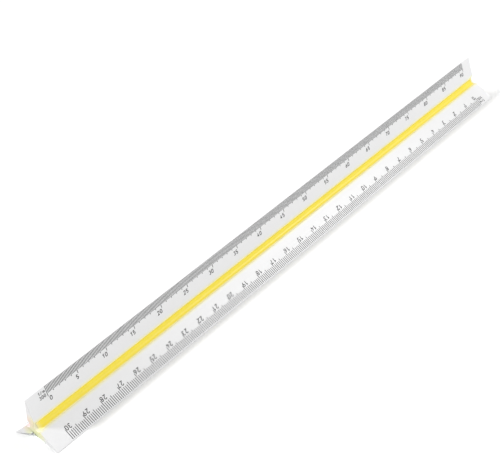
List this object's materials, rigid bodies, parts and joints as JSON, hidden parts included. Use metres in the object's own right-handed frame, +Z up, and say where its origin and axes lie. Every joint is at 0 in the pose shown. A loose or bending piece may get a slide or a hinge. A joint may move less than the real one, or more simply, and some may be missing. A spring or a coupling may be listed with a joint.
{
  "type": "triangular scale ruler",
  "caption": "Three-armed opal plastic scale ruler with a coloured strip in each valley and a printed reduction scale along both edges of each side, for reading and setting off scaled lengths.",
  "frame": {"origin": "on the plane that two ridges rest on, under the middle of the bar", "axes": "+X along the bar, so that the upper front scale reads towards +X, +Z up through the third ridge, the side with the yellow strip faces -Y and up"},
  "size_m": [0.318, 0.0248, 0.0215],
  "materials": {
    "opal_plastic": "milky translucent plastic, satin gloss, faint extrusion lines along the bar",
    "yellow_strip": "translucent yellow plastic, satin gloss",
    "red_strip": "translucent red plastic, satin gloss",
    "green_strip": "translucent green plastic, satin gloss",
    "scale_ink": "thin black printing ink, satin"
  },
  "bodies": {
    "root": {"ruler_body": "opal_plastic", "flute_strip_yellow": "yellow_strip", "flute_strip_red": "red_strip", "flute_strip_green": "green_strip", "scale_1_100_marks": "scale_ink", "scale_1_100_numerals": "scale_ink", "scale_1_200_marks": "scale_ink", "scale_1_200_numerals": "scale_ink", "scale_1_250_marks": "scale_ink", "scale_1_250_numerals": "scale_ink", "scale_1_300_marks": "scale_ink", "scale_1_300_numerals": "scale_ink", "scale_1_400_marks": "scale_ink", "scale_1_400_numerals": "scale_ink", "scale_1_500_marks": "scale_ink", "scale_1_500_numerals": "scale_ink"}
  },
  "joints": []
}
